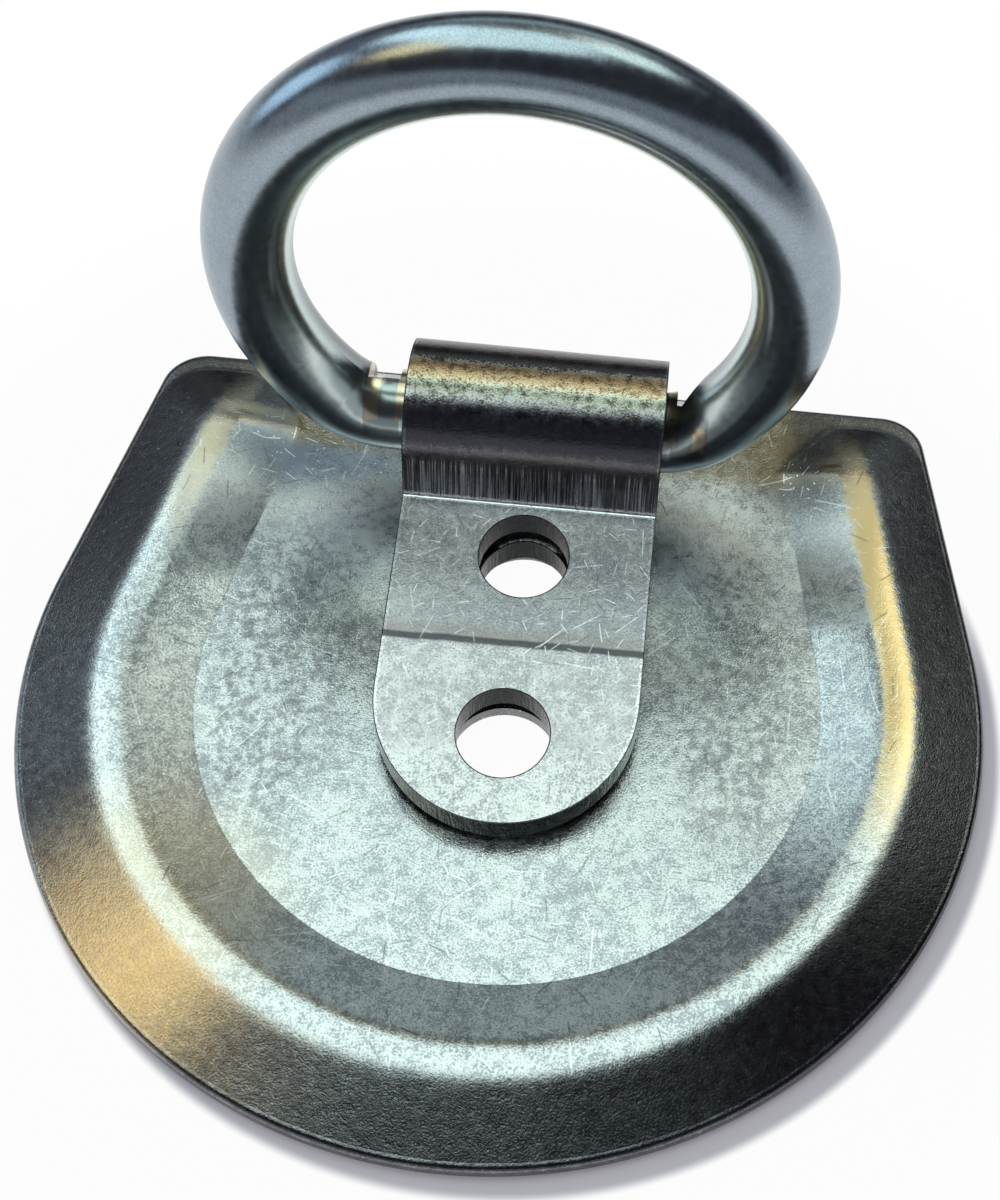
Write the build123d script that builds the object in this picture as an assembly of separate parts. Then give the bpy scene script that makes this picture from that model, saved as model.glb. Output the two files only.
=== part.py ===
from build123d import *
import os
from math import asin, atan2, cos, radians, sin, sqrt, tan

# Floor tie-down anchor: a pressed steel plate, a folded strap and a round-bar ring.
# Millimetres, +Z up. The origin is on the floor, in the centre of the plate's round side.
# +Y points to the plate's straight edge, where the ring is hinged.

os.makedirs("parts", exist_ok=True)

# plate
plate_radius = 51.0          # round side, measured from the origin
plate_far_y = 41.7           # straight edge
side_lean = 10.5             # degrees by which each straight side leans inwards
corner_radius = 5.0
plate_sheet = 1.5
edge_round = 0.8             # rounding of the plate's outer edge

# raised ridge, a horseshoe along the round side and the straight sides
ridge_rise = 2.6             # from the recess up to the ridge's top
ridge_round = 7.0            # radius of its rounded top
ridge_land = 0.4             # width of the level strip in the middle of that top
rim_width = 9.2              # from the ridge's top to the outer edge's rounding
far_lip = 2.3                # flat lip along the straight edge
far_rim_width = 8.2          # from the ridge's top to that lip

# recess that the strap and the folded ring lie in
recess_wall = 7.9            # from the ridge's top down to the recess
flare_length = 9.4           # the recess flares out over this length up to the straight edge
flare_angle = 40.0           # degrees from the Y direction

# strap
strap_sheet = 3.0
strap_width = 27.4
bolt_spacing = 20.0
bolt_centre_y = 1.9
bolt_hole_radius = 4.8
plate_hole_radius = 5.6      # wider than the strap's, for its slope
leaf_gap = 0.2               # between the top leaf and the end of the lower leaf
leaf_slope_far = 8.0         # degrees, from the crease up to the eye
leaf_slope_near = 7.0        # degrees, from the crease down to the round end
leaf_end_y = -17.7
leaf_bend_y = 19.3           # foot of the eye's front wall
lower_leaf_bend_y = 16.0     # where the lower leaf starts to rise to the eye
bend_inner_radius = 0.5

# ring
bar_radius = 4.4
eye_clearance = 0.5          # between the bar and the strap
ring_side_room = 0.3         # by which the bar stays straight past each side of the strap
ring_corner_radius = 8.6
ring_bulge = 4.6             # by which the bow is rounder than the corners and the straight reach
ring_shift = -1.6            # the ring sits a little to the left in its eye
ring_angle = 88.0            # degrees from +Y, as it stands
hinge_y = 27.0
hinge_z = 13.0
notch_depth = 0.9
notch_length = 3.2
notch_start = 1.2            # from the strap's side to the notch

ridge_radius = plate_radius - edge_round - rim_width
recess_radius = ridge_radius - recess_wall
ridge_top = plate_sheet + ridge_rise
flare_start_y = plate_far_y - flare_length
strap_half = strap_width / 2
ring_straight = strap_half + ring_side_room
ring_bow_radius = ring_straight + ring_corner_radius + ring_bulge
crease_y = bolt_centre_y
lower_leaf_top = plate_sheet + strap_sheet
eye_middle = bar_radius + eye_clearance + strap_sheet / 2
bolt_ys = (bolt_centre_y - bolt_spacing / 2, bolt_centre_y + bolt_spacing / 2)


def side_x(radius, y):
    """X of the leaning straight side that is tangent to the circle of this radius."""
    lean = radians(side_lean)
    return (radius - y * sin(lean)) / cos(lean)


def d_outline(radius, far_y, fillet_radius=0):
    """D shape: a round side, two straight sides that lean inwards and a straight far edge."""
    lean = radians(side_lean)
    touch_x = radius * cos(lean)
    touch_y = radius * sin(lean)
    far_x = side_x(radius, far_y)
    with BuildSketch() as sketch:
        with BuildLine():
            Line((far_x, far_y), (-far_x, far_y))
            Line((-far_x, far_y), (-touch_x, touch_y))
            ThreePointArc((-touch_x, touch_y), (0, -radius), (touch_x, touch_y))
            Line((touch_x, touch_y), (far_x, far_y))
        make_face()
        if fillet_radius:
            fillet(sketch.vertices().sort_by(Axis.Y)[-2:], fillet_radius)
    return sketch.sketch


def stack(outlines, heights):
    """Solid with straight sides between outlines that lie at these heights."""
    return loft([Pos(0, 0, z) * outline for outline, z in zip(outlines, heights)], ruled=True)


def shoulder(width):
    """Points (distance, drop) from the ridge's level strip: a round shoulder, then a straight slope."""
    steps = 4
    below = ridge_round - ridge_rise
    slope = asin(ridge_round / sqrt(width ** 2 + below ** 2)) - atan2(below, width)
    angles = [slope * step / steps for step in range(1, steps + 1)]
    arc = [(ridge_round * sin(angle), ridge_round * (1 - cos(angle))) for angle in angles]
    return arc + [(width, ridge_rise)]


def flare_outline(extra):
    """Trapezium that widens towards the straight edge, moved outwards by extra."""
    start_x = side_x(recess_radius, flare_start_y)
    back = flare_length
    past = 2 * flare_length
    spread = tan(radians(flare_angle))
    near_x = start_x - back * spread + extra
    far_x = start_x + past * spread + extra
    near_y = flare_start_y - back
    far_y = flare_start_y + past
    points = [(-near_x, near_y), (near_x, near_y), (far_x, far_y), (-far_x, far_y)]
    return make_face(Polyline(*points, close=True).edges())


def recess_void(floor_z):
    """What the recess takes away: a shallow dish, open and flared at the straight edge."""
    width = recess_wall - ridge_land / 2
    wall = [(width - distance, ridge_rise - drop) for distance, drop in reversed(shoulder(width))]
    last_distance, last_height = wall[-1]
    grade = (ridge_rise - last_height) / (width - last_distance)
    wall.append((width + ridge_round, ridge_rise + ridge_round * grade))
    heights = [floor_z + height for distance, height in wall]
    open_y = plate_far_y + flare_length
    lean = cos(radians(flare_angle))
    dish = stack([d_outline(recess_radius + distance, open_y) for distance, height in wall], heights)
    flare = stack([flare_outline(distance / lean) for distance, height in wall], heights)
    return dish + flare


def ridge(floor_z):
    """The pressed ridge alone, standing on the level floor_z."""
    half_land = ridge_land / 2
    slope = [(0, 0)] + shoulder(rim_width - half_land)
    far_y = plate_far_y - far_lip - far_rim_width
    far_scale = far_rim_width / (rim_width - half_land)
    outlines = [
        d_outline(ridge_radius + half_land + distance, far_y + distance * far_scale, corner_radius)
        for distance, drop in reversed(slope)
    ]
    heights = [floor_z + ridge_rise - drop for distance, drop in reversed(slope)]
    return stack(outlines, heights) - recess_void(floor_z)


def make_plate():
    base = extrude(d_outline(plate_radius, plate_far_y, corner_radius), plate_sheet)
    base = fillet(base.edges().group_by(Axis.Z)[-1], edge_round)
    plate = base + ridge(plate_sheet) - ridge(0)
    for y in bolt_ys:
        plate -= Pos(0, y, 0) * Cylinder(plate_hole_radius, 4 * ridge_top)
    return plate


def tangent_point(start_y, start_z, side):
    """Point where the line from (start_y, start_z) touches the eye; side is 1 above, -1 below."""
    centre_angle = atan2(hinge_z - start_z, hinge_y - start_y)
    distance = sqrt((hinge_y - start_y) ** 2 + (hinge_z - start_z) ** 2)
    line_angle = centre_angle + side * asin(eye_middle / distance)
    return (
        hinge_y - side * eye_middle * sin(line_angle),
        hinge_z + side * eye_middle * cos(line_angle),
    )


def strap_profile():
    """Side view of the folded strap: its middle line, traced at the sheet's thickness."""
    crease_z = lower_leaf_top + leaf_gap + strap_sheet / 2
    bend_z = crease_z + (leaf_bend_y - crease_y) * tan(radians(leaf_slope_far))
    over_y = leaf_end_y - strap_sheet
    over_z = crease_z - (crease_y - over_y) * tan(radians(leaf_slope_near))
    lower_z = plate_sheet + strap_sheet / 2
    upper_touch = tangent_point(leaf_bend_y, bend_z, 1)
    lower_touch = tangent_point(lower_leaf_bend_y, lower_z, -1)
    with BuildSketch() as sketch:
        with BuildLine() as path:
            Polyline((over_y, over_z), (crease_y, crease_z), (leaf_bend_y, bend_z), upper_touch)
            ThreePointArc(upper_touch, (hinge_y + eye_middle, hinge_z), lower_touch)
            Polyline(lower_touch, (lower_leaf_bend_y, lower_z), (crease_y, lower_z))
            bends = [
                vertex for vertex in path.vertices()
                if min(abs(vertex.X - leaf_bend_y), abs(vertex.X - lower_leaf_bend_y)) < 1e-6
            ]
            fillet(bends, bend_inner_radius + strap_sheet / 2)
        trace(line_width=strap_sheet)
    return sketch.sketch


def make_strap():
    folded = extrude(Plane.YZ * strap_profile(), strap_half, both=True)
    end_centre_y = leaf_end_y + strap_half
    round_end = Circle(strap_half)
    length = Rectangle(strap_width, 2 * hinge_y, align=(Align.CENTER, Align.MIN))
    plan = Pos(0, end_centre_y) * (round_end + length)
    strap = folded & extrude(plan, 2 * hinge_z)
    for y in bolt_ys:
        strap -= Pos(0, y, 0) * Cylinder(bolt_hole_radius, 4 * hinge_z)
    return strap


def ring_path():
    """Closed middle line of the bar, flat in XY, with the straight stretch on the X axis."""
    reach = ring_bow_radius - ring_corner_radius
    bow_y = ring_corner_radius + sqrt(reach ** 2 - ring_straight ** 2)
    angle = atan2(ring_corner_radius - bow_y, ring_straight)
    join_x = ring_bow_radius * cos(angle)
    join_y = bow_y + ring_bow_radius * sin(angle)
    turn = (angle - radians(90)) / 2
    corner_x = ring_straight + ring_corner_radius * cos(turn)
    corner_y = ring_corner_radius + ring_corner_radius * sin(turn)
    top = (0, bow_y + ring_bow_radius)
    with BuildLine() as path:
        Line((-ring_straight, 0), (ring_straight, 0))
        ThreePointArc((ring_straight, 0), (corner_x, corner_y), (join_x, join_y))
        ThreePointArc((join_x, join_y), top, (-join_x, join_y))
        ThreePointArc((-join_x, join_y), (-corner_x, corner_y), (-ring_straight, 0))
    return path.wire()


def make_ring():
    section = Plane.YZ * Circle(bar_radius)
    ring = Pos(ring_shift, 0, 0) * sweep(section, path=ring_path())
    middle = strap_half + notch_start + notch_length / 2
    for side in (-1, 1):
        pinch = Box(notch_length, 2 * bar_radius, 2 * bar_radius)
        lift = 2 * bar_radius - notch_depth
        ring -= Pos(side * middle, 0, 0) * (Rot(-45, 0, 0) * (Pos(0, lift, 0) * pinch))
    return Pos(0, hinge_y, hinge_z) * (Rot(ring_angle, 0, 0) * ring)


if __name__ == "__main__":
    solids = {"base_plate": make_plate(), "strap": make_strap(), "ring": make_ring()}
    for name, solid in solids.items():
        print(name, round(solid.volume, 1), solid.bounding_box())
        export_step(solid, f"parts/{name}.step")
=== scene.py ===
import bmesh
import bpy
import math
from mathutils import Matrix, Vector
from mathutils.geometry import tessellate_polygon


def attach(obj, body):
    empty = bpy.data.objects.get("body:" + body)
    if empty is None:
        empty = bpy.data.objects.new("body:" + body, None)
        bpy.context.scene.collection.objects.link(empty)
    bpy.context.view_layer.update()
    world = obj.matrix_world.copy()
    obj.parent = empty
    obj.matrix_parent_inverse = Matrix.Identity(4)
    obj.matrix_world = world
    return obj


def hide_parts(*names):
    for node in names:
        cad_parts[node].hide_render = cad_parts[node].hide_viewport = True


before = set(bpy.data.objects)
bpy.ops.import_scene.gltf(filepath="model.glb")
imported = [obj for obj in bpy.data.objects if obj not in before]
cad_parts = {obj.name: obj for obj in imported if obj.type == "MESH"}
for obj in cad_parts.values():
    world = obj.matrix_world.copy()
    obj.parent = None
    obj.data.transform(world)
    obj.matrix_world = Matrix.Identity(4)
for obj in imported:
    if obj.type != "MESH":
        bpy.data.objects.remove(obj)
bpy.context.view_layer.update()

boltPlaces = (-8.1, 11.9)                    # y of the two bolt holes in mm


# makes any node; an input is a Value, a number, a vector or a colour
def addNode(tree, kind, settings, inputs, output=0):
    made = tree.nodes.new(kind)
    for name, setting in settings.items():
        setattr(made, name, setting)
    for name, item in inputs.items():
        socket = made.inputs[name]
        if isinstance(item, Value):
            tree.links.new(item.link, socket)
        else:
            socket.default_value = (*item, 1) if socket.type == "RGBA" else item
    return Value(tree, made.outputs[output])


# wraps an output socket, so that shader maths is written as plain expressions
class Value:
    def __init__(self, tree, link):
        self.tree = tree
        self.link = link

    def math(self, operation, *others):
        inputs = dict(enumerate((self, *others)))
        return addNode(self.tree, "ShaderNodeMath", {"operation": operation}, inputs)

    def __add__(self, other): return self.math("ADD", other)
    def __radd__(self, other): return self.math("ADD", other)
    def __sub__(self, other): return self.math("SUBTRACT", other)
    def __rsub__(self, other): return (self * -1.0) + other
    def __mul__(self, other): return self.math("MULTIPLY", other)
    def __rmul__(self, other): return self.math("MULTIPLY", other)
    def __truediv__(self, other): return self.math("DIVIDE", other)
    def __pow__(self, other): return self.math("POWER", other)
    def __abs__(self): return self.math("ABSOLUTE")
    def most(self, other): return self.math("MAXIMUM", other)
    def least(self, other): return self.math("MINIMUM", other)
    def root(self): return self.math("SQRT")

    # another output of the same node
    def sibling(self, name):
        return Value(self.tree, self.link.node.outputs[name])


# one node tree and the masks and textures that are built in it
class Shader:
    def __init__(self, tree):
        self.tree = tree
        tree.nodes.clear()

    def node(self, kind, settings=None, inputs=None, output=0):
        return addNode(self.tree, kind, settings or {}, inputs or {}, output)

    def finish(self, kind, surface):
        output = self.tree.nodes.new(kind)
        self.tree.links.new(surface.link, output.inputs["Surface"])

    def vector(self, operation, first, second, output=0):
        return self.node("ShaderNodeVectorMath", {"operation": operation}, {0: first, 1: second}, output)

    def split(self, vector):
        first = self.node("ShaderNodeSeparateXYZ", {}, {0: vector})
        return [first, first.sibling(1), first.sibling(2)]

    # place on the object in millimetres
    def place(self):
        return self.vector("MULTIPLY", self.node("ShaderNodeTexCoord", output="Object"), (1000, 1000, 1000))

    def mixColour(self, factor, low, high, blend="MIX"):
        settings = {"data_type": "RGBA", "blend_type": blend}
        return self.node("ShaderNodeMix", settings, {0: factor, 6: low, 7: high}, 2)

    def noise(self, where, scale, detail, rough, stretch=None):
        if stretch:
            where = self.vector("MULTIPLY", where, stretch)
        inputs = {"Vector": where, "Scale": scale, "Detail": detail, "Roughness": rough}
        return self.node("ShaderNodeTexNoise", {}, inputs)

    # 0 below low, 1 above high, smooth between
    def step(self, value, low, high):
        inputs = {"Value": value, "From Min": low, "From Max": high}
        return self.node("ShaderNodeMapRange", {"interpolation_type": "SMOOTHSTEP"}, inputs)

    # 1 between low and high, fading over soft
    def band(self, value, low, high, soft):
        return self.step(value, low - soft, low) * (1 - self.step(value, high, high + soft))

    # 1 inside an ellipse round a place in the xy plane
    def spot(self, x, y, centre, size, soft):
        away = (((x - centre[0]) / size[0]) ** 2.0 + ((y - centre[1]) / size[1]) ** 2.0).root()
        return 1 - self.step(away, 1 - soft, 1 + soft)

    # 1 inside a circle round each bolt hole
    def holes(self, x, y, radius, soft):
        return self.strongest(self.spot(x, y, (0, place), (radius, radius), soft) for place in boltPlaces)

    def strongest(self, masks):
        found, *others = masks
        for mask in others:
            found = found.most(mask)
        return found

    # short straight scratches, one at most in each cell, each with its own direction
    def scratches(self, where, cell, length, width, share):
        grid = {"feature": "F1", "voronoi_dimensions": "2D"}
        sockets = {"Vector": where, "Scale": 1 / cell, "Randomness": 1.0}
        cells = self.node("ShaderNodeTexVoronoi", grid, sockets)
        along, across, up = self.split(self.vector("SUBTRACT", where, cells.sibling("Position")))
        chance, turn, strength = self.split(cells.sibling("Color"))
        turn = turn * math.tau
        cosine, sine = turn.math("COSINE"), turn.math("SINE")
        far = abs(along * cosine + across * sine)
        off = abs(across * cosine - along * sine)
        line = 1 - self.step(off, width * 0.4, width)
        line = line * (1 - self.step(far, length * 0.3, length * 0.5))
        return line * self.step(chance, 1 - share, 1 - share + 0.02) * (strength * 0.7 + 0.3)


def newMaterial(name):
    material = bpy.data.materials.new(name)
    material.use_nodes = True
    return material, Shader(material.node_tree)


def dress(node, material):
    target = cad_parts[node]
    target.data.materials.clear()
    target.data.materials.append(material)


# it stands in front of the plate and looks down at nearly 60 degrees
cameraView = {
    "place": (0.01214, -0.09464, 0.16959),
    "right": (0.9951, 0.05, 0.08527),
    "up": (-0.08786, 0.84261, 0.53131),
    "lens": 53.95,
    "shift": (-0.1794, 0.0070),
    "nearest": 0.005,
}


def makeCamera():
    camera = bpy.data.objects.new("camera", bpy.data.cameras.new("camera"))
    right = Vector(cameraView["right"]).normalized()
    back = right.cross(Vector(cameraView["up"])).normalized()
    turn = Matrix((right, back.cross(right), back)).transposed().to_4x4()
    camera.matrix_world = Matrix.Translation(cameraView["place"]) @ turn
    camera.data.sensor_fit = "VERTICAL"
    camera.data.sensor_height = 36
    camera.data.lens = cameraView["lens"]
    camera.data.shift_x, camera.data.shift_y = cameraView["shift"]
    camera.data.clip_start = cameraView["nearest"]
    bpy.context.collection.objects.link(camera)
    bpy.context.scene.camera = camera


# places and sizes in mm, except the first two
floorPlan = {
    "size": 6.0,
    "drop": 0.0002,                          # below the plate, both in metres
    "glow": 0.93,                            # share of the floor that shows plain white
    "holeGlow": 0.96,                        # the same inside the bolt holes
    "holeSize": (7, 0.1),
    "plainFrom": (62, 85),                   # distance over which the rest of its shading ends
    "greyFrom": (160, 500),                  # and over which it turns pale grey
    "grey": (0.42, 0.43, 0.45),
    # soft shadow beside the plate's near right edge
    "shadeColour": (0.62, 0.58, 0.66),
    "shadePlace": ((1.5, -1.6), (51.3, 51.3), 0.012),
    "shadeEnd": (5, 25),
    "shadeStrength": 0.75,
}


def makeFloor():
    half = floorPlan["size"] / 2
    corners = [(-half, -half, 0), (half, -half, 0), (half, half, 0), (-half, half, 0)]
    mesh = bpy.data.meshes.new("floor")
    mesh.from_pydata(corners, [], [(0, 1, 2, 3)])
    floor = bpy.data.objects.new("floor", mesh)
    floor.location.z = -floorPlan["drop"]
    bpy.context.collection.objects.link(floor)
    material, shader = newMaterial("paleFloor")
    rays = shader.node("ShaderNodeLightPath")
    kinds = ("Is Camera Ray", "Is Glossy Ray", "Is Transmission Ray")
    seen = shader.strongest(rays.sibling(kind) for kind in kinds)
    x, y, z = shader.split(shader.place())
    inHole = shader.holes(x, y, *floorPlan["holeSize"])
    fromMiddle = (x * x + y * y).root()
    glow = floorPlan["glow"] + inHole * (floorPlan["holeGlow"] - floorPlan["glow"])
    glow = glow + (1.0 - glow) * shader.step(fromMiddle, *floorPlan["plainFrom"])
    colour = shader.mixColour(shader.step(fromMiddle, *floorPlan["greyFrom"]), (1, 1, 1), floorPlan["grey"])
    shade = shader.spot(x, y, *floorPlan["shadePlace"])
    shade = shade * (1 - shader.step(y, *floorPlan["shadeEnd"])) * (1 - inHole)
    colour = shader.mixColour(shade, colour, floorPlan["shadeColour"])
    glow = glow * (1 - shade * floorPlan["shadeStrength"])
    plain = shader.node("ShaderNodeBsdfDiffuse", {}, {"Color": colour})
    white = shader.node("ShaderNodeEmission", {}, {"Color": colour, "Strength": 1.0})
    mixed = shader.node("ShaderNodeMixShader", {}, {0: seen * glow, 1: plain, 2: white})
    shader.finish("ShaderNodeOutputMaterial", mixed)
    mesh.materials.append(material)


# the room is light overhead, behind and at the left, and dark at the front and right; each pair
# says over which part of the direction's x, y or z a zone fades in or out
room = {
    "dim": (0.04, 0.04, 0.05),
    # the wall between the light and the dark side, as shares of x and y and an offset
    "lightSide": (-0.756, 0.654, 0.046),
    "lightFade": (0.0, 0.12),
    "lightFrontEdge": (-0.14, -0.02),
    "sideColour": (0.16, 0.17, 0.21),
    "sideEnd": (0.7, 0.9),
    "gapColour": (0.30, 0.28, 0.20),         # between the side and the light overhead
    "gapHeight": (0.66, 0.74),
    "gapSide": (-0.42, -0.3),
    "backColour": (0.56, 0.67, 0.66),
    "backStart": (0.76, 0.86),
    "backHeight": (0.31, 0.42),
    "frontColour": (0.36, 0.39, 0.42),
    "frontEnd": (-0.4, -0.1),
    "frontTop": (0.32, 0.46),
    "horizonColour": (0.12, 0.13, 0.15),
    "horizonTop": (0.0, 0.06),
    # round soft light overhead: middle, half size and softness of it, seen from above
    "overhead": ((-0.15, 0.14), (0.45, 0.40), 0.12),
    "overheadHeight": (0.4, 0.5),
    "overheadColour": (1.60, 1.90, 1.82),
    # smaller lights: direction, inner and outer angle in degrees, colour
    "lights": (
        ((-0.93, 0.20, 0.27), 8, 20, (1.2, 1.55, 1.85)),         # low at the left
        ((-0.50, 0.49, 0.71), 8, 16, (1.8, 2.2, 2.2)),           # high behind, at the left
        ((0.41, 0.45, 0.80), 10, 17, (2.0, 2.25, 2.0)),          # and at the right
        ((-0.60, -0.08, 0.79), 6, 14, (1.95, 1.55, 0.85)),       # warm, high at the left
        ((0.27, 0.65, 0.71), 4, 11, (1.45, 1.50, 1.25)),         # warm, behind
    ),
}


def makeRoom():
    world = bpy.data.worlds.new("room")
    world.use_nodes = True
    bpy.context.scene.world = world
    shader = Shader(world.node_tree)
    direction = shader.node("ShaderNodeTexCoord", output="Generated")
    x, y, z = shader.split(direction)
    shareX, shareY, offset = room["lightSide"]
    light = shader.step(x * shareX + y * shareY + offset, *room["lightFade"])
    light = light * shader.step(y, *room["lightFrontEdge"])
    side = light * (1 - shader.step(y, *room["sideEnd"]))
    gap = light * shader.step(z, *room["gapHeight"]) * shader.step(x, *room["gapSide"])
    back = light * shader.step(y, *room["backStart"]) * shader.step(z, *room["backHeight"])
    front = (1 - shader.step(y, *room["frontEnd"])) * (1 - shader.step(z, *room["frontTop"]))
    overhead = shader.spot(x, y, *room["overhead"]) * shader.step(z, *room["overheadHeight"])
    colour = shader.mixColour(side, room["dim"], room["sideColour"])
    colour = shader.mixColour(gap, colour, room["gapColour"])
    colour = shader.mixColour(back, colour, room["backColour"])
    colour = shader.mixColour(front, colour, room["frontColour"])
    colour = shader.mixColour(1 - shader.step(z, *room["horizonTop"]), colour, room["horizonColour"])
    colour = shader.mixColour(overhead, colour, room["overheadColour"])
    for axis, inner, outer, tint in room["lights"]:
        facing = shader.vector("DOT_PRODUCT", direction, tuple(Vector(axis).normalized()), 1)
        patch = shader.step(facing, math.cos(math.radians(outer)), math.cos(math.radians(inner)))
        colour = shader.mixColour(patch, colour, tint)
    light = shader.node("ShaderNodeBackground", {}, {"Color": colour, "Strength": 1.0})
    shader.finish("ShaderNodeOutputWorld", light)


# zinc: bluish grey metal, with a fine grain, cloudy stains, specks and hairline scratches
zinc = {
    "light": (0.54, 0.57, 0.57),
    "dull": (0.26, 0.28, 0.30),
    "stain": (0.13, 0.13, 0.14),
    "speck": (0.86, 0.90, 0.92),
    "crack": (0.08, 0.085, 0.09),
    "grain": 4.6,                            # per millimetre, for the finest texture
    "middleGrain": 1.012,
    "cloud": 0.16,
    "toneFade": (0.42, 0.56),                # from dull to light
    "grainDepth": 0.000022,                  # metres
}


# colour of the bare zinc, its fine and middle grain; even draws the tones together
def zincBase(shader, where, even=0.0):
    fine = shader.noise(where, zinc["grain"], 2, 0.6)
    middle = shader.noise(where, zinc["middleGrain"], 2, 0.6)
    cloud = shader.noise(where, zinc["cloud"], 2, 0.6)
    low, high = zinc["toneFade"]
    tone = shader.step(fine * 0.5 + middle * 0.3 + cloud * 0.2, low - even, high + even)
    return shader.mixColour(tone, zinc["dull"], zinc["light"]), fine, middle


def finishZinc(shader, colour, rough, height, depth=1.0):
    distance = zinc["grainDepth"] * depth
    bump = shader.node("ShaderNodeBump", {}, {"Strength": 1.0, "Distance": distance, "Height": height})
    inputs = {"Base Color": colour, "Metallic": 1.0, "Roughness": rough, "Normal": bump}
    shader.finish("ShaderNodeOutputMaterial", shader.node("ShaderNodeBsdfPrincipled", {}, inputs))


# the pressed plate, in mm: the radii are the round side's, and the straight sides and the far
# edge run on from it
plate = {
    "farY": 41.7,
    "sideLean": 10.5,                        # degrees
    "cornerRadius": 5.0,
    "sheet": 1.5,
    "edgeRound": 0.8,
    "rise": 2.6,                             # from the recess up to the ridge
    "recessRadius": 33.1,                    # foot of the ridge's inner wall
    "recessFar": 24.1,
    "crestRadius": 41.0,                     # middle of the ridge's top
    "crestFar": 31.2,
    "crestHalf": 0.2,                        # half the width of its level top
    "crestBlend": 0.5,                       # how softly the slopes meet on it
    "wallRound": 4.0,                        # rounding of the ridge towards the recess
    "rimRound": 5.5,                         # and towards the outer edge
    "rimFoot": 50.2,
    "rimFootFar": 39.4,
    "flareStart": 32.3,
    "flareAngle": 40.0,                      # degrees
    "flareEnd": 0.2,                         # how quickly the flare's wall ends in front of its start
    "waves": 0.0175,                         # unevenness of the pressed sheet, as a share of the height
    "holeRadius": 5.6,
    # faces: radius and far edge of the innermost loop, gap between loops, and counts
    "innerLoop": (29.0, 21.0),
    "loopGap": 0.45,
    "roundFaces": 220,
    "sideFaces": 56,
    "cornerFaces": 16,
    "farFaces": 110,
    "holeFaces": 64,
    "edgeFaces": 6,
    "sharpAngle": 35,                        # degrees
    # finish: each pair fades in from its first number to its second
    "roughness": 0.20,
    "rimStart": (42.0, 44.5),                # distance from the middle
    "rimStartFar": ((32.5, 34.5), (26, 30)),         # the same behind the ridge's ends: y, x
    "crestBand": (40.3, 42.3, 1.2),
    "crestBandFar": ((31.0, 33.4, 1.2), (22, 34, 2)),
    # colour of the rim's painted dark reflection, mixed with its mottled tarnish
    "paintedDarkAndTarnishColour": (0.085, 0.08, 0.085),
    "tarnishFade": (0.30, 0.62),
    # painted warm reflections of a warm light: their colour, a deeper one on the right, and their places
    "warmReflectionColour": (0.66, 0.57, 0.40),
    "deepWarmReflection": (0.62, 0.47, 0.24),          # on the right
    "deepWarmReflectionStart": (20, 30),
    # centre, half size, strength, and whether it goes beyond the crest of the ridge
    "warmReflectionPlaces": (
        ((-33, -29), (12, 12), 0.5, True),
        ((-30, 27), (12, 12), 0.9, False),
        ((41, 12), (9, 22), 0.95, False),
    ),
    # centre, half size and strength of the darkest painted dark reflection on the rim
    "paintedDarkRims": (
        ((36, -30), (16, 18), 0.75),
        ((-44, 22), (13, 20), 0.8),
        ((0, 42), (60, 8), 0.5),
        ((48, 10), (12, 30), 0.5),
    ),
    # centre, half size, strength and colour of broad painted dark and light reflections
    "paintedReflections": (
        ((30.5, 32.5), (6, 6), 0.9, (0.07, 0.06, 0.05)),
        ((-29.5, 28.5), (5.5, 5), 0.8, (0.12, 0.15, 0.19)),
        ((16.5, 21.5), (7, 5), 0.5, (0.95, 0.97, 0.98)),
        ((-18.5, 20), (7, 4.5), 0.5, (0.95, 0.97, 0.98)),
        ((-21, 29.5), (9, 5.5), 0.75, (0.12, 0.15, 0.21)),
        ((34, 21), (4, 4), 0.3, (0.95, 0.97, 0.98)),
        ((-35, 21), (4, 4), 0.3, (0.95, 0.97, 0.98)),
    ),
    "tongueWarmReflection": (0.26, 0.22, 0.13),      # painted warm dark reflection where the recess is open at the far edge
    "tongue": ((28.5, 31), (27, 31)),        # y, x
    # centre, half size and strength of the cloudy stains on the recess
    "stains": (((-25, 0), (7, 19), 0.8), ((24, -2), (6, 14), 0.7), ((12, 22), (9, 5), 0.4)),
    "stainFade": (0.42, 0.62),
    "holes": (5.7, 0.008),
    # cell, length, width and share of the scratches
    "cracks": (3.7, 2.8, 0.12, 0.5),
    "longScratches": (6.0, 5.5, 0.10, 0.6),
    "shortScratches": (2.1, 1.9, 0.09, 0.6),
    "speckFade": (0.71, 0.76),
    # satin walls beside the strap: x and strength, and their reach in y
    "satin": (((15, 26, 2), 0.4), ((28, 38, 2), 1.0)),
    "satinReach": (13, 28, 4),
}


# x of a leaning straight side that touches the circle of this radius
def sideX(radius, y):
    lean = math.radians(plate["sideLean"])
    return (radius - y * math.sin(lean)) / math.cos(lean)


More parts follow.
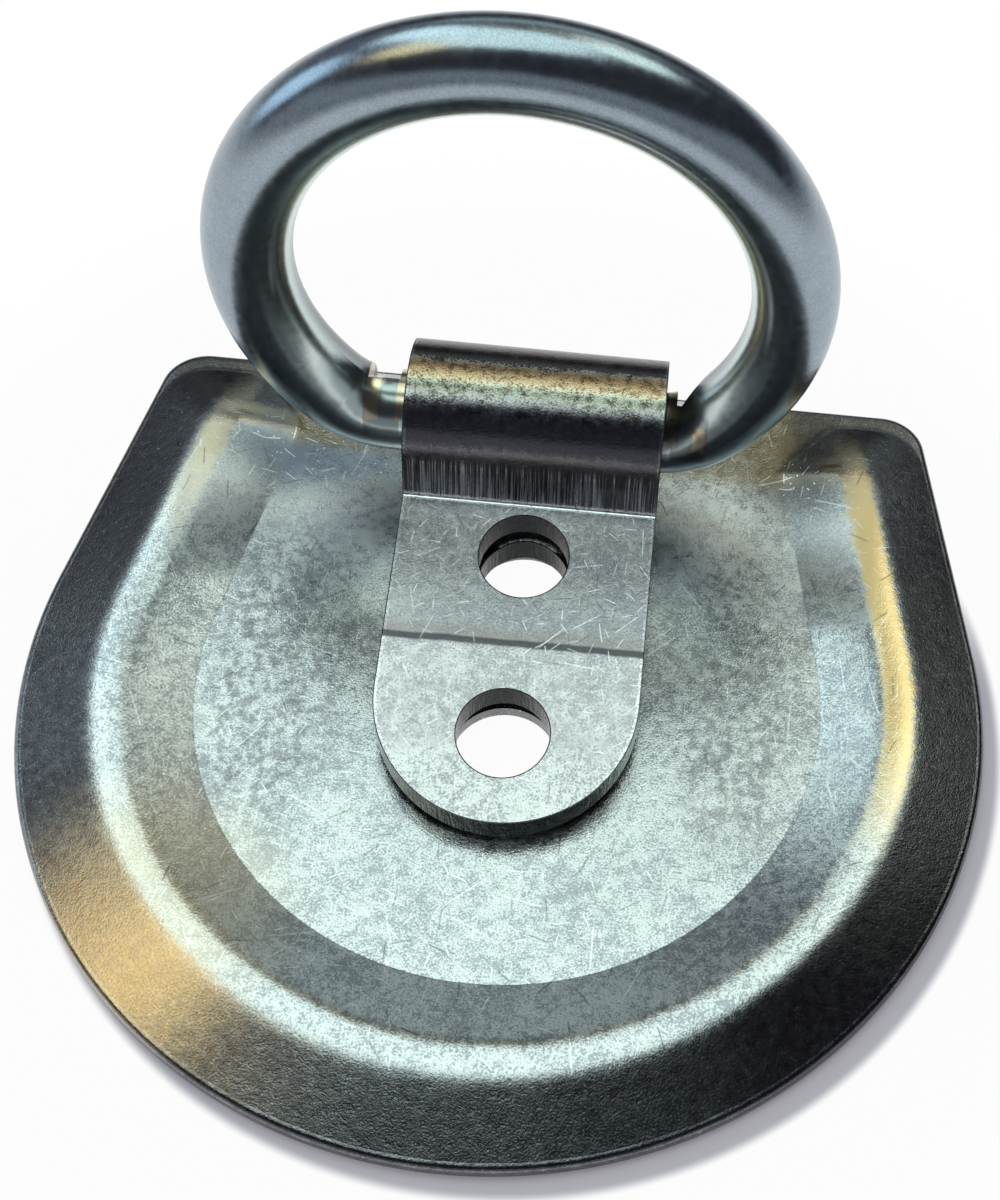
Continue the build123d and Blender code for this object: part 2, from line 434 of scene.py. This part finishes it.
# points of the plate's outline at this radius and far edge, always the same number of them
def outlineLoop(radius, farY):
    lean, corner = plate["sideLean"], plate["cornerRadius"]
    middleX, middleY = sideX(radius - corner, farY - corner), farY - corner

    def arc(centre, size, start, end, count):
        for step in range(count):
            angle = math.radians(start + (end - start) * step / count)
            yield centre[0] + size * math.cos(angle), centre[1] + size * math.sin(angle)

    def line(start, end, count):
        for step in range(count):
            part = step / count
            yield start[0] + (end[0] - start[0]) * part, start[1] + (end[1] - start[1]) * part

    angle = math.radians(lean)
    touchX, touchY = radius * math.cos(angle), radius * math.sin(angle)
    cornerX, cornerY = middleX + corner * math.cos(angle), middleY + corner * math.sin(angle)
    return [
        *arc((0, 0), radius, 180 - lean, 360 + lean, plate["roundFaces"]),
        *line((touchX, touchY), (cornerX, cornerY), plate["sideFaces"]),
        *arc((middleX, middleY), corner, lean, 90, plate["cornerFaces"]),
        *line((middleX, farY), (-middleX, farY), plate["farFaces"]),
        *arc((-middleX, middleY), corner, 90, 180 - lean, plate["cornerFaces"]),
        *line((-cornerX, cornerY), (-touchX, touchY), plate["sideFaces"]),
    ]


# drop from the ridge's top at this distance from it: a round shoulder, then a straight slope
def shoulderDrop(distance, width, size):
    rise = plate["rise"]
    if distance <= 0:
        return 0.0
    if distance >= width:
        return rise
    below = size - rise
    slope = math.asin(size / math.hypot(width, below)) - math.atan2(below, width)
    start = size * math.sin(slope)
    if distance < start:
        return size - math.sqrt(size * size - distance * distance)
    dropped = size * (1 - math.cos(slope))
    return dropped + (rise - dropped) * (distance - start) / (width - start)


# the smaller or larger of two numbers, rounded where they meet
def softLeast(first, second, blend):
    near = max(blend - abs(first - second), 0.0) / blend
    return min(first, second) - near * near * blend / 4


def softMost(first, second, blend):
    return -softLeast(-first, -second, blend)


# height of the pressed shape over the flat recess
def pressedHeight(x, y):
    rise, blend, half = plate["rise"], plate["crestBlend"], plate["crestHalf"]
    lean, flare = math.radians(plate["sideLean"]), math.radians(plate["flareAngle"])
    x = abs(x)
    outward = x * math.cos(lean) + y * math.sin(lean) if y > x * math.tan(lean) else math.hypot(x, y)
    # the slope down to the outer edge
    rimWidth = plate["rimFoot"] - plate["crestRadius"] - half
    side = outward - plate["crestRadius"] - half
    far = (y - plate["crestFar"]) * rimWidth / (plate["rimFootFar"] - plate["crestFar"])
    rim = rise - shoulderDrop(softMost(side, far, plate["cornerRadius"]), rimWidth, plate["rimRound"])
    # the wall down to the recess, which flares out towards the far edge
    wallWidth = plate["crestRadius"] - plate["recessRadius"] - half
    flareX = sideX(plate["recessRadius"], plate["flareStart"]) + (y - plate["flareStart"]) * math.tan(flare)
    toDish, toFlare = outward - plate["recessRadius"], (x - flareX) * math.cos(flare)
    dish = rise - shoulderDrop(wallWidth - toDish, wallWidth, plate["wallRound"])
    flared = rise - shoulderDrop(wallWidth - toFlare, wallWidth, plate["wallRound"])
    flared += max(plate["flareStart"] - y, 0.0) * plate["flareEnd"]
    height = max(softLeast(rim, softLeast(dish, flared, blend), blend), 0.0)
    wave = math.sin(x * 0.21 + y * 0.13) + math.sin(y * 0.27 - x * 0.11 + 1.3)
    return height * (1 + plate["waves"] * wave)


# radius, far edge and drop below the pressed shape of each loop of faces, from the inside out
def plateLoops():
    edge, foot, footFar = plate["edgeRound"], plate["recessRadius"], plate["recessFar"]
    marks = [
        plate["innerLoop"],
        (foot - 0.1, footFar - 0.1), (foot, footFar), (foot + 0.1, footFar + 0.1),
        (plate["crestRadius"], plate["crestFar"]),
        (plate["rimFoot"] - 0.1, plate["rimFootFar"]), (plate["rimFoot"], plate["farY"] - edge),
    ]
    loops = [(*marks[0], 0.0)]
    for (radius, farY), (nextRadius, nextY) in zip(marks, marks[1:]):
        count = max(1, math.ceil(max(nextRadius - radius, nextY - farY) / plate["loopGap"]))
        for step in range(1, count + 1):
            part = step / count
            loops.append((radius + (nextRadius - radius) * part, farY + (nextY - farY) * part, 0.0))
    for step in range(1, plate["edgeFaces"] + 1):
        angle = math.radians(90 / plate["edgeFaces"] * step)
        out = edge * math.sin(angle)
        loops.append((plate["rimFoot"] + out, plate["farY"] - edge + out, edge * (1 - math.cos(angle))))
    return loops


def makePlate():
    sheet, edge, size, sides = plate["sheet"], plate["edgeRound"], plate["holeRadius"], plate["holeFaces"]
    turns = [math.tau * step / sides for step in range(sides)]
    body = bmesh.new()

    def addLoop(points):
        return [body.verts.new((x / 1000, y / 1000, z / 1000)) for x, y, z in points]

    def addHole(y, z):
        return addLoop([(size * math.cos(turn), y + size * math.sin(turn), z) for turn in turns])

    def join(first, second):
        for place in range(len(first)):
            ahead = (place + 1) % len(first)
            body.faces.new((first[place], first[ahead], second[ahead], second[place]))

    upperLoops = [
        addLoop([(x, y, sheet + pressedHeight(x, y) - drop) for x, y in outlineLoop(radius, farY)])
        for radius, farY, drop in plateLoops()
    ]
    # the underside has no rounding at the edge, so it skips the loops inside that
    lowerLoops = [
        addLoop([(x, y, pressedHeight(x, y)) for x, y in outlineLoop(radius, farY)])
        for radius, farY, drop in plateLoops() if not 0.0 < drop < edge - 0.001
    ]
    for loops in (upperLoops, lowerLoops):
        for first, second in zip(loops, loops[1:]):
            join(first, second)
    join(upperLoops[-1], lowerLoops[-1])
    holes = [(addHole(y, sheet), addHole(y, 0.0)) for y in boltPlaces]
    for upper, lower in holes:
        join(upper, lower)
    # flat faces between the innermost loop and the holes, above and below
    for level, inner in ((0, upperLoops[0]), (1, lowerLoops[0])):
        rings = [inner] + [pair[level] for pair in holes]
        verts = [vert for loop in rings for vert in loop]
        for triangle in tessellate_polygon([[vert.co for vert in loop] for loop in rings]):
            body.faces.new([verts[place] for place in triangle])
    bmesh.ops.recalc_face_normals(body, faces=body.faces)
    mesh = bpy.data.meshes.new("pressedPlate")
    body.to_mesh(mesh)
    body.free()
    mesh.shade_smooth()
    mesh.set_sharp_from_angle(angle=math.radians(plate["sharpAngle"]))
    piece = bpy.data.objects.new("pressedPlate", mesh)
    bpy.context.collection.objects.link(piece)
    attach(piece, "base")
    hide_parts("base_plate")
    return piece


def plateZinc():
    material, shader = newMaterial("plateZinc")
    where = shader.place()
    x, y, z = shader.split(where)
    colour, fine, middle = zincBase(shader, where)
    mottle = shader.noise(where, 0.9, 3, 0.7)
    ragged = (mottle - 0.5) * 2
    # distance from the middle, measured like the plate's own outline
    lean = math.radians(plate["sideLean"])
    onSide = shader.step(y - abs(x) * math.tan(lean), -0.5, 0.5)
    fromMiddle = (x * x + y * y).root()
    outward = fromMiddle + onSide * (abs(x) * math.cos(lean) + y * math.sin(lean) - fromMiddle)

    farY, farX = plate["rimStartFar"]
    farRim = shader.step(y, *farY) * shader.step(abs(x), *farX)
    rim = shader.step(outward, *plate["rimStart"]).most(farRim)
    tarnish = rim * shader.step(middle * 0.5 + mottle * 0.5, *plate["tarnishFade"])
    farY, farX = plate["crestBandFar"]
    farCrest = shader.band(y + ragged, *farY) * shader.band(abs(x), *farX)
    crest = shader.band(outward + ragged, *plate["crestBand"]).most(farCrest)

    # painted warm reflection, mostly on the ridge's crest
    def warmReflectionPlace(centre, size, strength, everywhere):
        part = shader.spot(x, y, centre, size, 0.5) * strength
        return part if everywhere else part * crest

    warmReflection = shader.strongest(warmReflectionPlace(*place) for place in plate["warmReflectionPlaces"])
    # painted dark reflection over the whole rim, deeper where the mottled tarnish lies, lighter under the
    # painted warm reflection
    colour = shader.mixColour((rim * 0.45 + tarnish * 0.4) * (1 - warmReflection * 0.8), colour, plate["paintedDarkAndTarnishColour"])
    colour = shader.mixColour(warmReflection, colour, plate["warmReflectionColour"])
    # painted dark reflections on parts of the rim
    for centre, size, strength in plate["paintedDarkRims"]:
        part = rim * shader.spot(x, y, centre, size, 0.6) * strength
        colour = shader.mixColour(part, colour, plate["paintedDarkAndTarnishColour"])
    # painted dark and light reflections
    for centre, size, strength, tint in plate["paintedReflections"]:
        colour = shader.mixColour(shader.spot(x, y, centre, size, 0.7) * strength, colour, tint)
    # painted warm dark reflection on the open tongue
    tongue = shader.step(y, *plate["tongue"][0]) * (1 - shader.step(abs(x), *plate["tongue"][1]))
    colour = shader.mixColour(tongue * 0.6, colour, plate["tongueWarmReflection"])

    stain = shader.strongest(
        shader.spot(x, y, centre, size, 0.35) * strength for centre, size, strength in plate["stains"]
    )
    stain = stain * shader.step(mottle, *plate["stainFade"])
    colour = shader.mixColour(stain * 0.75, colour, zinc["stain"])
    # painted shade on the bolt holes' walls, in the stain colour
    hole = shader.holes(x, y, *plate["holes"])
    colour = shader.mixColour(hole * 0.85, colour, zinc["stain"])
    # deeper painted warm reflection on the right
    colour = shader.mixColour(warmReflection * shader.step(x, *plate["deepWarmReflectionStart"]), colour, plate["deepWarmReflection"])
    # scratches and specks are fewer on the tarnished rim
    crack = shader.scratches(where, *plate["cracks"])
    colour = shader.mixColour(crack * (0.6 - rim * 0.45), colour, zinc["crack"])
    short = shader.scratches(where, *plate["shortScratches"])
    scratch = shader.scratches(where, *plate["longScratches"]).most(short)
    scratch = scratch * (1 - rim * 0.85) * (1 - hole)
    colour = shader.mixColour(scratch * 0.5, colour, zinc["speck"])
    speck = shader.step(shader.noise(where, 2.6, 1, 0.5), *plate["speckFade"])
    colour = shader.mixColour(speck * (0.6 - rim * 0.4), colour, zinc["speck"])

    (nearWall, nearShare), (farWall, farShare) = plate["satin"]
    satin = shader.band(abs(x), *nearWall) * nearShare + shader.band(abs(x), *farWall) * farShare
    satin = satin * shader.band(y, *plate["satinReach"])
    rough = plate["roughness"] + (middle - 0.5) * 0.25 + stain * 0.12 + satin * 0.22
    finishZinc(shader, colour, rough, fine + middle * 0.9)
    return material


# the strap's shape comes from model.glb, so this holds only its finish
strap = {
    "roughness": 0.21,
    "tint": (0.97, 0.93, 0.92),
    "halfWidth": 13.7,
    "endMiddle": -4.0,                       # of the round end, along the strap
    "top": (6.0, 6.4),                       # height above which the leaf's upper face lies
    "dullColour": (0.27, 0.26, 0.27),
    "dullFade": (0.40, 0.62),
    "farLeafShadeColour": (0.16, 0.165, 0.18),    # painted shade between the crease and the eye
    "farLeafShade": (2.0, 17.6, 0.2),
    "creasePlace": 1.9,
    "crease": (-0.3, 0.15, 0.3),
    "creaseColour": (0.05, 0.05, 0.055),
    "shoulder": (0.2, 0.9, 1.1),             # painted reflection stripe beside the crease
    "shoulderColour": (0.20, 0.17, 0.155),
    "wallFoot": 18.1,                        # where the eye's front wall rises
    "wall": ((27, 0.1), (7.5, 15.0, 1.5)),   # where it ends in y, and its height
    "wallDarkReflection": (0.07, 0.065, 0.07),
    "brushedFade": (0.44, 0.62),
    "brushedTop": (13.6, 15.2),
    "footTop": (10.3, 10.7),
    "eyeMiddle": (27.0, 13.0),
    "eyeStart": ((12.5, 13.5), (18.0, 19.0)),        # z, y
    # painted reflection bands round the eye: from, to, colour and strength, in degrees from the far side over
    # the top
    "eyeReflectionBands": (
        (-60, 79, (0.05, 0.042, 0.04), 0.88),
        (86, 99, (0.50, 0.36, 0.20), 0.9),
        (103, 109, (0.60, 0.64, 0.46), 0.6),
        (122, 150, (0.14, 0.15, 0.20), 0.7),
        (140, 215, (0.08, 0.072, 0.075), 0.7),
    ),
    "eyeSoft": 5.0,
    "lightBand": (78, 122),                  # degrees
    "pitColour": (0.07, 0.055, 0.04),
    "holes": (4.88, 0.008),
    "holeShadeColour": (0.012, 0.013, 0.014),
    "cutColour": (0.035, 0.037, 0.04),       # of the sheared edge
    # cell, length, width and share of the scratches
    "cracks": (2.9, 2.4, 0.11, 0.5),
    "longScratches": (4.5, 4.0, 0.09, 0.5),
    "shortScratches": (1.7, 1.5, 0.08, 0.6),
}


def strapZinc():
    material, shader = newMaterial("strapZinc")
    where = shader.place()
    x, y, z = shader.split(where)
    colour, fine, middle = zincBase(shader, where)
    half, wallFoot = strap["halfWidth"], strap["wallFoot"]
    onTop = shader.step(z, *strap["top"])

    # the leaf: dull mottles, painted shade between crease and eye, and a painted reflection stripe beside the
    # crease
    wobble = (shader.noise(where, 0.35, 2, 0.5) - 0.5) * 0.35
    fromCrease = y - strap["creasePlace"] + wobble
    crease = shader.band(fromCrease, *strap["crease"]) * onTop
    shoulder = shader.band(fromCrease, *strap["shoulder"]) * onTop
    mottle = shader.step(shader.noise(where, 0.7, 3, 0.7), *strap["dullFade"])
    farLeafShade = shader.band(y, *strap["farLeafShade"]) * onTop
    colour = shader.mixColour(1.0, colour, strap["tint"], "MULTIPLY")
    colour = shader.mixColour(onTop * (0.12 + mottle * 0.4), colour, strap["dullColour"])
    # painted shade on the far part of the leaf
    colour = shader.mixColour(farLeafShade * 0.45, colour, strap["farLeafShadeColour"])

    # the eye's front wall: painted dark reflection, brushed upright, with a painted highlight along its foot
    (wallEnd, wallSoft), wallHeight = strap["wall"]
    onWall = shader.band(y, wallFoot, wallEnd, wallSoft) * shader.band(z, *wallHeight)
    streak = shader.noise(where, 6.2, 2, 0.6, (1, 0.015, 0.015))
    brushed = shader.step(streak, *strap["brushedFade"]) * onWall * (1 - shader.step(z, *strap["brushedTop"]))
    # painted highlight along the bend at the wall's foot
    foot = shader.band(y + (fine - 0.5) * 0.5, wallFoot - 0.45, wallFoot, 0.12)
    foot = foot * (1 - shader.step(z, *strap["footTop"])) * onTop
    # painted dark reflection on the eye's front wall
    colour = shader.mixColour(onWall * 0.7, colour, strap["wallDarkReflection"])

    # the eye: painted reflection bands round it, and dark pits in the light band on its top
    eyeY, eyeZ = strap["eyeMiddle"]
    around = (z - eyeZ).math("ARCTAN2", y - eyeY) * math.degrees(1)
    around = around + (middle - 0.5) * 9 + (fine - 0.5) * 14
    onEye = shader.step(z, *strap["eyeStart"][0]) * shader.step(y, *strap["eyeStart"][1])
    grainy = shader.step(fine * 0.5 + middle * 0.5, 0.36, 0.54)
    # painted reflection bands round the eye
    for low, high, tint, strength in strap["eyeReflectionBands"]:
        part = onEye * shader.band(around, low, high, strap["eyeSoft"]) * strength
        colour = shader.mixColour(part, colour, tint)
    lightBand = onEye * shader.band(around, *strap["lightBand"], strap["eyeSoft"])
    colour = shader.mixColour(lightBand * (1 - grainy) * 0.85, colour, strap["pitColour"])
    # painted highlight along the wall's foot
    colour = shader.mixColour(foot * 0.8, colour, zinc["speck"])

    # sheared faces: the holes' walls with painted shade and the strap's own edge darkened, with a painted
    # highlight along the top edge
    hole = shader.holes(x, y, *strap["holes"])
    ahead = (y - strap["endMiddle"]).least(0)
    outward = (x * x + ahead * ahead).root()
    cut = shader.step(outward, half - 0.12, half - 0.04).most(hole)
    tear = shader.noise(where, 3.0, 2, 0.6, (1, 1, 0.12))
    burrHighlight = shader.band(outward + (fine - 0.5) * 0.25, half - 0.34, half - 0.14, 0.06) * onTop
    burrHighlight = burrHighlight * (0.15 + 0.5 * shader.step(fine, 0.45, 0.6)) * (1 - shader.step(y, -2, 6) * 0.7)
    # painted highlight along the burr on the top edge
    colour = shader.mixColour(burrHighlight, colour, zinc["speck"])
    colour = shader.mixColour(cut * (0.72 + tear * 0.25), colour, strap["cutColour"])
    # painted shade on the bolt holes' walls
    colour = shader.mixColour(hole, colour, strap["holeShadeColour"])
    # painted reflection stripe on the shoulder beside the crease
    colour = shader.mixColour(shoulder * 0.45, colour, strap["shoulderColour"])
    # painted shade in the crease
    colour = shader.mixColour(crease * 0.9, colour, strap["creaseColour"])
    colour = shader.mixColour(brushed * 0.75, colour, zinc["speck"])

    # scratches are few on the wall and the eye
    crack = shader.scratches(where, *strap["cracks"])
    colour = shader.mixColour(crack * (1 - hole) * 0.55, colour, zinc["crack"])
    short = shader.scratches(where, *strap["shortScratches"])
    scratch = shader.scratches(where, *strap["longScratches"]).most(short)
    scratch = scratch * (1 - shader.step(y, wallFoot, wallFoot + 0.3) * 0.85) * (1 - cut)
    colour = shader.mixColour(scratch * 0.45, colour, zinc["speck"])
    rough = strap["roughness"] + (middle - 0.5) * 0.25
    finishZinc(shader, colour, rough, fine + middle + brushed * 4 + cut * tear * 6)
    return material


# the ring's shape comes from model.glb too
ring = {
    "roughness": 0.23,
    "tint": (0.78, 0.87, 0.96),
    "even": 0.35,                            # smoother in tone than the other two
    "middle": (-1.6, 33.8),                  # centre of the bow, seen from the front
    "inner": (24.2, 27.7),                   # radius over which the inner side ends
    # painted reflection on the bow's inner side in front
    "innerReflectionColour": (0.82, 0.95, 0.90),
    "behind": (26.0, 29.0),
    # painted shade on the bow's inner side behind
    "backColour": (0.16, 0.155, 0.16),
    "notch": (14.7, 18.2),                   # distance of the two notches from the middle
    "notchHeight": (14.5, 19.5, 0.8),
    "flankHeight": (15.8, 18.4, 0.4),        # painted warm reflection on the notches' flanks
}


def ringZinc():
    material, shader = newMaterial("ringZinc")
    where = shader.place()
    x, y, z = shader.split(where)
    colour, fine, middle = zincBase(shader, where, ring["even"])
    colour = shader.mixColour(1.0, colour, ring["tint"], "MULTIPLY")
    aside, above = x - ring["middle"][0], z - ring["middle"][1]
    inside = 1 - shader.step((aside * aside + above * above).root(), *ring["inner"])
    behind = shader.step(y, *ring["behind"])
    # painted reflection lightens the bow's inner side in front, painted shade darkens it behind
    colour = shader.mixColour(inside * (1 - behind) * 0.7, colour, ring["innerReflectionColour"])
    colour = shader.mixColour(inside * behind * 0.75, colour, ring["backColour"])
    low, high = ring["notch"]
    notchShade = shader.band(abs(x), low, high, 0.25) * shader.band(z, *ring["notchHeight"])
    outerFlank = shader.band(abs(x), high - 1.3, high - 0.1, 0.2)
    flankReflection = outerFlank.most(shader.band(abs(x), low - 0.6, low + 0.2, 0.2))
    flankReflection = flankReflection * shader.band(z, *ring["flankHeight"])
    # painted shade in the notches
    colour = shader.mixColour(notchShade * 0.5, colour, zinc["crack"])
    # painted warm reflection on the notches' flanks
    colour = shader.mixColour(flankReflection * 0.9, colour, plate["warmReflectionColour"])
    rough = ring["roughness"] + (middle - 0.5) * 0.15
    finishZinc(shader, colour, rough, fine * 0.15 + middle * 0.6, 0.6)
    return material


print("camera")
makeCamera()
print("floor and room")
makeFloor()
makeRoom()
print("plate")
makePlate().data.materials.append(plateZinc())
print("strap and ring")
dress("strap", strapZinc())
dress("ring", ringZinc())

bpy.context.scene.view_settings.view_transform = "Standard"
